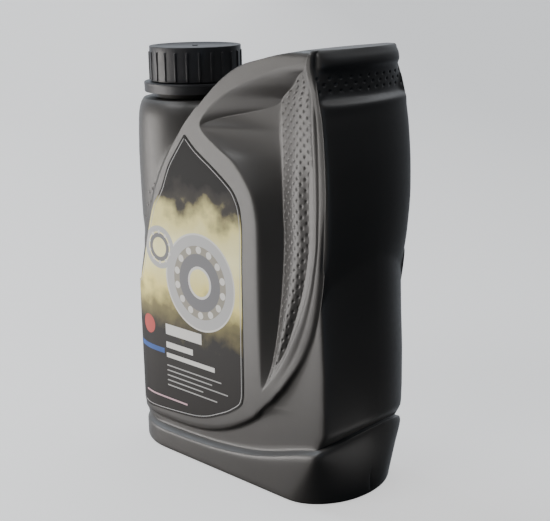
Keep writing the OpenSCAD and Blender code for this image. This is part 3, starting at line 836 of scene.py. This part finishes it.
# the hollow below
selectFaces(capPiece, lambda face: face.normal.z < -0.9)
bpy.ops.mesh.inset(thickness=(capWallR - skirtIn) * mm)
bpy.ops.mesh.extrude_region_move(TRANSFORM_OT_translate={"value": (0, 0, (capTall - cap["topThick"]) * mm)})
# the dished top
selectFaces(capPiece, isTop)
for width in cap["topRim"]:
    bpy.ops.mesh.inset(thickness=width * mm)
bpy.ops.transform.translate(value=(0, 0, -cap["dish"] * mm))
# cut the wall where the ribs end, then draw the ribs out
ribLow, ribHigh = capLow.z + cap["ribStart"], capHigh.z - cap["ribEnd"]
ribStep = 2 * math.pi / cap["ribs"]
editMesh(capPiece, "FACE")
for height in (ribLow, ribHigh):
    bpy.ops.mesh.select_all(action="SELECT")
    bpy.ops.mesh.bisect(plane_co=(neckX * mm, 0, height * mm), plane_no=(0, 0, 1))


def isRib(face):
    c = face.calc_center_median()
    x = c.x - neckX * mm
    outside = math.hypot(x, c.y) > (capWallR - 0.5) * mm and abs(face.normal.z) < 0.3
    turn = (math.atan2(c.y, x) + 10 * math.pi) % ribStep / ribStep
    return outside and ribLow < c.z / mm < ribHigh and abs(turn - 0.5) < 0.5 / cap["steps"]


objectMode()
selectFaces(capPiece, isRib)
bpy.ops.mesh.extrude_region_shrink_fatten(TRANSFORM_OT_shrink_fatten={"value": cap["ribHeight"] * mm})
objectMode()
mergeAndTurnOut(capPiece, 0.001 * mm)
applyModifier(capPiece, "BEVEL", width=cap["bevel"] * mm, segments=3, limit_method="ANGLE",
              angle_limit=math.radians(35))
# gate mark in the middle of the top
bpy.ops.mesh.primitive_cylinder_add(vertices=32, radius=cap["nub"][0] * mm, depth=cap["nub"][1] * 2 * mm,
                                    location=(neckX * mm, 0, (capHigh.z - cap["dish"]) * mm))
nub = bpy.context.object
applyPlace()
joinInto(capPiece, nub)
smoothShade(capPiece, 40)
placePiece(capPiece, "screwCap", "cap", "screw_cap", capPlastic, "screw_cap")
print("cap", len(capPiece.data.polygons), "faces")

# tamper ring, turned from its section
ringShape = {"clear": 0.4, "segments": 144}
ringIn = neckR + ringShape["clear"]
ringOut = (ringHigh.x - ringLow.x) / 2


def turnedPiece(name, section, segmentCount, axisX):
    clearSelection()
    bpy.ops.mesh.primitive_circle_add(vertices=len(section), radius=mm)
    piece = bpy.context.object
    piece.name = name
    for v, (radius, height) in zip(piece.data.vertices, section):
        v.co = ((axisX + radius) * mm, 0, height * mm)
    editMesh(piece)
    bpy.ops.mesh.select_all(action="SELECT")
    bpy.ops.mesh.spin(steps=segmentCount, angle=2 * math.pi, center=(axisX * mm, 0, 0), axis=(0, 0, 1))
    objectMode()
    mergeAndTurnOut(piece, 0.002 * mm)
    return piece


z0, z1 = ringLow.z, ringHigh.z
ringSection = [(ringIn, z0), (ringOut - 0.5, z0), (ringOut - 0.25, z0 + 0.08), (ringOut - 0.12, z0 + 0.3),
               (ringOut - 0.1, z1 - 1.3), (ringOut, z1 - 1.15), (ringOut, z1 - 0.35),
               (ringOut - 0.1, z1 - 0.1), (ringOut - 0.35, z1), (ringIn, z1)]
ringPiece = turnedPiece("tamperRing", ringSection, ringShape["segments"], neckX)
smoothShade(ringPiece, 40)
placePiece(ringPiece, "tamperRing", "bottle", "tamper_ring", capPlastic, "tamper_ring")
print("ring", len(ringPiece.data.polygons), "faces")

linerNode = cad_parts["cap_liner"]
linerNode.data.materials.clear()
linerNode.data.materials.append(linerFoam())

# label: a film laid on the panel and round the end, mirrored to the back
label = {"top": 161.7, "tip": 0.3, "gap": 0.06, "thick": 0.2, "narrow": 8, "keyline": (0.95, 1.25),
         "edgeSteps": [0, 0.5, 0.9, 1.3, 1.7, 2.2, 3], "innerCols": 44, "nearCols": 12, "nearZ": 48,
         "arcBlend": (0.02, 0.2), "printUnit": 100,
         # rows up the film as [first height, step, count]
         "rows": [(20.05, 0.35, 12), (24.4, 0.8, 28), (47, 1.6, 20), (79.2, 0.4, 24), (89.2, 1.45, 50)],
         "left": [[20, -75], [80, -75], [86, -57.5], [97, -51.5], [111, -47], [126, -41.6], [133.4, -36.4],
                  [146.1, -30.1], [154.2, -24], [161.7, -18]],
         "right": [[20, -75], [20.4, -50], [23.5, -14], [28.4, -0.4], [33, 8.6], [38.9, 15.6], [44, 16.8],
                   [104, 17.5], [122.7, 18], [130.3, 17.3], [138.6, 13.4], [143.5, 7.6], [149.3, -1],
                   [155.5, -11], [161.7, -18]]}
labelLeft, labelRight = smoothCurve(label["left"]), smoothCurve(label["right"])
labelR = halfD + label["gap"]


def rolledUp(u, z):
    if u >= neckX:
        return u, -labelR
    a = (neckX - u) / halfD
    k = coming("column", z)
    panel = halfD * squared(a, form["panelRound"])
    column = (halfD * (1 - k) + line["columnR"](z) * ky * k) * squared(a, endRoundAt(k))
    arcTurn = (neckX - line["arc"](z) * kx) / halfD
    start, end = [arcTurn + turn for turn in label["arcBlend"]]
    rr = panel + (column - panel) * ease(start, end, a) + label["gap"]
    return neckX - rr * math.sin(a), -rr * math.cos(a)


# places round the end are found by walking along it
endWalk = [(neckX - halfD * math.radians(a), rolledUp(neckX - halfD * math.radians(a), 0)[0])
           for a in range(0, 91)]


def unrolled(x):
    if x >= neckX:
        return x
    for (u0, x0), (u1, x1) in zip(endWalk, endWalk[1:]):
        if x >= x1:
            return u0 + (u1 - u0) * (x - x0) / (x1 - x0)
    return endWalk[-1][0]


topRow = label["top"] - label["tip"]
labelRows = [first + step * i for first, step, count in label["rows"] for i in range(count)]
labelRows = [z for z in labelRows if z < topRow] + [topRow]
labelGrid = []
for z in labelRows:
    uLeft, uRight = unrolled(labelLeft(z) * kx), unrolled(labelRight(z) * kx)
    wide = uRight - uLeft
    steps = [step * min(1, wide / label["narrow"]) for step in label["edgeSteps"]]
    middle, count = wide - 2 * steps[-1], label["innerCols"]
    inner = [steps[-1] + middle * i / count for i in range(1, count)]
    labelGrid.append([(uLeft + step, z * kz) for step in steps + inner + [wide - w for w in reversed(steps)]])
endU = endWalk[-1][0]
leftEdge = [row[0] for row in labelGrid if row[0][0] > endU + 0.01]
rightEdge = [row[-1] for row in reversed(labelGrid)]
outline = [(endU, leftEdge[0][1])] + leftEdge + rightEdge + [(endU, rightEdge[-1][1])]
nCols, nRows = len(labelGrid[0]), len(labelGrid)
labelPiece = gridPiece(nCols, nRows)


def gapToOutline(u, v):
    gaps = []
    for (ua, va), (ub, vb) in zip(outline, outline[1:]):
        du, dv = ub - ua, vb - va
        length = du * du + dv * dv
        f = 0 if length == 0 else min(1, max(0, ((u - ua) * du + (v - va) * dv) / length))
        gaps.append(math.hypot(u - ua - du * f, v - va - dv * f))
    return min(gaps)


# each point's distance to the film's edge, which places the keyline
edgeGap = labelPiece.data.attributes.new("edgeGap", "FLOAT", "POINT")
farInside = 9.0
flatPlaces = []
for j, row in enumerate(labelGrid):
    for i, (u, v) in enumerate(row):
        x, y = rolledUp(u, v / kz)
        labelPiece.data.vertices[j * nCols + i].co = (x * mm, y * mm, v * mm)
        near = min(i, nCols - 1 - i) < label["nearCols"] or v < label["nearZ"]
        edgeGap.data[j * nCols + i].value = gapToOutline(u, v) if near else farInside
        flatPlaces.append((u / label["printUnit"], v / label["printUnit"]))
uvLayer = labelPiece.data.uv_layers.active
for loop in labelPiece.data.loops:
    uvLayer.data[loop.index].uv = flatPlaces[loop.vertex_index]
mirrorToBack(labelPiece)
applyModifier(labelPiece, "SOLIDIFY", thickness=label["thick"] * mm, offset=1)

# the print, in units of 100 mm across and up the film: boxes are [across, up, width, height]
artwork = {
    # rings as [radius, width, colour], balls as [radius, size, count]
    "bearings": [{"at": (-0.1, 0.86), "balls": (0.148, 0.0165, 14),
                  "rings": [(0.19, 0.05, "steel"), (0.217, 0.008, "pale"), (0.1, 0.06, "shade"),
                            (0.148, 0.036, "cage"), (0.068, 0.012, "pale")]},
                 {"at": (-0.36, 0.98), "balls": (0.07, 0.008, 10),
                  "rings": [(0.085, 0.026, "steel"), (0.055, 0.02, "shade")]}],
    "disc": (-0.46, 0.6), "discSize": 0.045,
    "blueBar": (-0.455, 0.49, 0.2, 0.024), "lowRule": (-0.36, 0.262, 0.3, 0.008),
    "bars": [(-0.22, 0.6, 0.24, 0.05), (-0.25, 0.525, 0.18, 0.028), (-0.18, 0.475, 0.32, 0.022)],
    "thinLines": (0.36, 0.3, 0.4, 0.24, 0.33), "thinLeft": -0.34, "thinTop": 0.425, "thinPitch": 0.024,
    "thinHeight": 0.006, "smoke": 0.06, "rampTop": 1.5,
    # colours up the film
    "stops": [(0.19, (0.034, 0.032, 0.031)), (0.58, (0.04, 0.038, 0.037)), (0.7, (0.22, 0.19, 0.09)),
              (0.8, (0.85, 0.74, 0.27)), (0.98, (0.98, 0.93, 0.52)), (1.12, (0.8, 0.72, 0.3)),
              (1.22, (0.05, 0.045, 0.04)), (1.3, (0.014, 0.014, 0.014)), (1.5, (0.014, 0.014, 0.014))],
    "steel": (0.5, 0.5, 0.5), "pale": (0.72, 0.71, 0.68), "shade": (0.2, 0.2, 0.21),
    "cage": (0.33, 0.31, 0.26), "red": (0.5, 0.1, 0.09), "blue": (0.06, 0.12, 0.35),
    "thinGrey": (0.42, 0.42, 0.41), "rose": (0.62, 0.42, 0.46),
}


def printedFilm():
    material, nodes, links, shader = newMaterial("printedFilm", roughness=0.55)
    shader.inputs["Specular IOR Level"].default_value = 0.12
    uv = nodes.new("ShaderNodeUVMap").outputs["UV"]
    parts = nodes.new("ShaderNodeSeparateXYZ")
    links.new(uv, parts.inputs["Vector"])
    across, along = parts.outputs["X"], parts.outputs["Y"]

    def maths(kind, *values):
        node = nodes.new("ShaderNodeMath")
        node.operation = kind
        for socket, value in zip(node.inputs, values):
            if hasattr(value, "is_linked"):
                links.new(value, socket)
            else:
                socket.default_value = value
        return node.outputs[0]

    def within(value, middle, reach):
        return maths("COMPARE", value, middle, reach)

    def box(u, v, width, height):
        return maths("MULTIPLY", within(across, u, width / 2), within(along, v, height / 2))

    def farFrom(u, v):
        node = nodes.new("ShaderNodeVectorMath")
        node.operation = "DISTANCE"
        links.new(uv, node.inputs[0])
        node.inputs[1].default_value = (u, v, 0)
        return node.outputs["Value"]

    def ring(u, v, radius, width):
        return within(farFrom(u, v), radius, width / 2)

    # balls of a bearing between two rings
    def balls(u, v, radius, size, count):
        angle = maths("ARCTAN2", maths("SUBTRACT", along, v), maths("SUBTRACT", across, u))
        turn = maths("FRACT", maths("MULTIPLY", angle, count / (2 * math.pi)))
        aside = maths("MULTIPLY", maths("SUBTRACT", turn, 0.5), 2 * math.pi * radius / count)
        out = maths("SUBTRACT", farFrom(u, v), radius)
        reach = maths("SQRT", maths("ADD", maths("MULTIPLY", aside, aside), maths("MULTIPLY", out, out)))
        return maths("LESS_THAN", reach, size)

    # a gold cloud between dark ends
    rampTop, stops = artwork["rampTop"], artwork["stops"]
    ramp = nodes.new("ShaderNodeValToRGB")
    elements = ramp.color_ramp.elements
    elements[0].position, elements[0].color = stops[0][0] / rampTop, (*stops[0][1], 1)
    elements[1].position, elements[1].color = 1, (*stops[-1][1], 1)
    for place, tint in stops[1:-1]:
        elements.new(place / rampTop).color = (*tint, 1)
    swing = artwork["smoke"]
    smoke = mapped(nodes, links, noise(nodes, links, uv, 7, 5), -swing, swing, 0.3, 0.7)
    links.new(mapped(nodes, links, maths("ADD", along, smoke), 0, 1, 0, rampTop), ramp.inputs["Fac"])
    colour = ramp.outputs["Color"]

    layers = []
    for bearing in artwork["bearings"]:
        layers += [(ring(*bearing["at"], radius, width), tint) for radius, width, tint in bearing["rings"]]
        layers.append((balls(*bearing["at"], *bearing["balls"]), "pale"))
    layers.append((maths("LESS_THAN", farFrom(*artwork["disc"]), artwork["discSize"]), "red"))
    layers.append((box(*artwork["blueBar"]), "blue"))
    layers += [(box(*bar), "pale") for bar in artwork["bars"]]
    for i, width in enumerate(artwork["thinLines"]):
        up = artwork["thinTop"] - artwork["thinPitch"] * i
        layers.append((box(artwork["thinLeft"] + width / 2, up, width, artwork["thinHeight"]), "thinGrey"))
    layers.append((box(*artwork["lowRule"]), "rose"))
    edge = nodes.new("ShaderNodeAttribute")
    edge.attribute_name = "edgeGap"
    low, high = label["keyline"]
    layers.append((within(edge.outputs["Fac"], (low + high) / 2, (high - low) / 2), "steel"))
    for mask, tint in layers:
        colour = mixColour(nodes, links, mask, colour, artwork[tint])
    links.new(colour, shader.inputs["Base Color"])
    return material


placePiece(labelPiece, "frontLabel", "bottle", "label", printedFilm(), "label")
smoothShade(labelPiece, 40)
print("label", len(labelPiece.data.polygons), "faces")

# floor, lights and camera; each painted glow on the floor is [direction, from, to, strength at the first, at
# the second]
floorLook = {"size": 60, "colour": (0.4, 0.4, 0.4), "roughness": 0.9,
             "glow": [((-0.72, -0.69, 0), -0.35, 0.35, 0.7, 1.02), ((-0.69, 0.72, 0), -0.2, 1.2, 1.0, 0.84)]}


def paleFloor():
    material, nodes, links, shader = newMaterial("paleFloor", floorLook["colour"], floorLook["roughness"])
    shader.inputs["Specular IOR Level"].default_value = 0.1
    shader.inputs["Emission Color"].default_value = (1, 1, 1, 1)
    place = objectPlace(nodes)
    # painted light: the floor glows brighter, so looks paler, to the left and near the camera, as if lamps
    # lit it there
    glow = nodes.new("ShaderNodeMath")
    glow.operation = "MULTIPLY"
    for socket, (direction, near, far, low, high) in zip(glow.inputs, floorLook["glow"]):
        dot = nodes.new("ShaderNodeVectorMath")
        dot.operation = "DOT_PRODUCT"
        links.new(place, dot.inputs[0])
        dot.inputs[1].default_value = direction
        links.new(mapped(nodes, links, dot.outputs["Value"], low, high, near, far), socket)
    links.new(glow.outputs[0], shader.inputs["Emission Strength"])
    return material


clearSelection()
bpy.ops.mesh.primitive_plane_add(size=floorLook["size"], location=(0, 0, 0))
floor = bpy.context.object
floor.name = "floor"
floor.data.materials.append(paleFloor())
floor.visible_diffuse = False
floor.visible_glossy = False


def studioWorld():
    world = bpy.data.worlds.new("studio")
    world.use_nodes = True
    nodes, links = world.node_tree.nodes, world.node_tree.links
    # dim all round, with a pale wall behind on the left
    toward = nodes.new("ShaderNodeVectorMath")
    toward.operation = "DOT_PRODUCT"
    toward.inputs[1].default_value = (-0.74, 0.66, 0.12)
    links.new(nodes.new("ShaderNodeTexCoord").outputs["Generated"], toward.inputs[0])
    wall = mapped(nodes, links, toward.outputs["Value"], 0.03, 0.88, 0.35, 0.85)
    links.new(wall, nodes["Background"].inputs["Strength"])
    nodes["Background"].inputs["Color"].default_value = (0.86, 0.92, 1, 1)
    return world


bpy.context.scene.world = studioWorld()

# each lamp's kind, place, aim, strength, size (an angle for a sun) and colour
lamps = {
    "daySun": ("SUN", (-0.6, -0.1, 0.75), (0, 0, 0), 1.6, math.radians(25), (0.8, 0.9, 1)),
    "skyBehind": ("SUN", (0.02, 0.55, 0.83), (0, 0, 0), 1.2, math.radians(60), (0.95, 0.97, 1)),
    "leftBox": ("AREA", (-0.6, -0.5, 0.085), (0, 0, 0.085), 3.0, (0.54, 0.16), (1, 0.96, 0.92)),
    "lowGlow": ("AREA", (-0.2, -0.23, 0.004), (0.02, 0, 0.1), 0.56, (0.24, 0.16), (1, 0.97, 0.95)),
    "floorGlow": ("AREA", (-0.36, -0.3, 0.003), (-0.36, -0.3, 1), 0.9, (0.4, 0.4), (1, 0.97, 0.95)),
    "frontFill": ("AREA", (-0.15, -0.75, 0.85), (0, 0, 0.1), 5.0, (0.6, 0.3), (1, 1, 1)),
    "rightGlint": ("AREA", (0.5, 0.22, 0.5), (0.06, 0, 0.15), 0.12, (0.12, 0.3), (0.8, 0.88, 1)),
    "rightFloor": ("AREA", (0.1, 0, 0.003), (0.1, 0, 1), 0.0065, (0.03, 0.06), (1, 0.98, 0.96)),
    "cornerStrip": ("AREA", (0.5, -0.28, 0.06), (0.06, -0.02, 0.1), 0.1, (0.05, 0.25), (0.55, 0.75, 1)),
}
# the lamps near the floor light the bottle and leave the floor even
bottleOnly = ("leftBox", "lowGlow")
litPieces = bpy.data.collections.new("litPieces")
for piece in (bottle, labelPiece, capPiece, ringPiece):
    litPieces.objects.link(piece)
for name, (kind, place, aim, strength, size, colour) in lamps.items():
    clearSelection()
    bpy.ops.object.light_add(type=kind, location=place)
    lamp = bpy.context.object
    lamp.name = name
    lamp.data.energy = strength
    lamp.data.color = colour
    if kind == "AREA":
        lamp.data.shape = "RECTANGLE"
        lamp.data.size, lamp.data.size_y = size
    else:
        lamp.data.angle = size
    lamp.visible_camera = False
    lamp.rotation_euler = (Vector(aim) - Vector(place)).to_track_quat("-Z", "Y").to_euler()
    if name in bottleOnly:
        lamp.light_linking.receiver_collection = litPieces
print("floor and", len(lamps), "lamps set")

camera = {"place": (332.9, -335.8, 218.1), "azimuth": 44.0, "pitch": 14.92, "roll": -0.917, "lens": 71.9,
          "sensor": 36, "clip": (0.01, 100)}
clearSelection()
bpy.ops.object.camera_add()
eye = bpy.context.object
eye.data.lens = camera["lens"]
eye.data.sensor_width = camera["sensor"]
a, p, r = [math.radians(camera[key]) for key in ("azimuth", "pitch", "roll")]
ahead = Vector((-math.sin(a) * math.cos(p), math.cos(a) * math.cos(p), -math.sin(p)))
right = Vector((math.cos(a), math.sin(a), 0))
up = right.cross(ahead)
tiltRight = right * math.cos(r) + up * math.sin(r)
tiltUp = up * math.cos(r) - right * math.sin(r)
turn = Matrix((tiltRight, tiltUp, -ahead)).transposed().to_4x4()
eye.matrix_world = Matrix.Translation(Vector(camera["place"]) * mm) @ turn
eye.data.clip_start, eye.data.clip_end = camera["clip"]
bpy.context.scene.camera = eye
print("camera set")
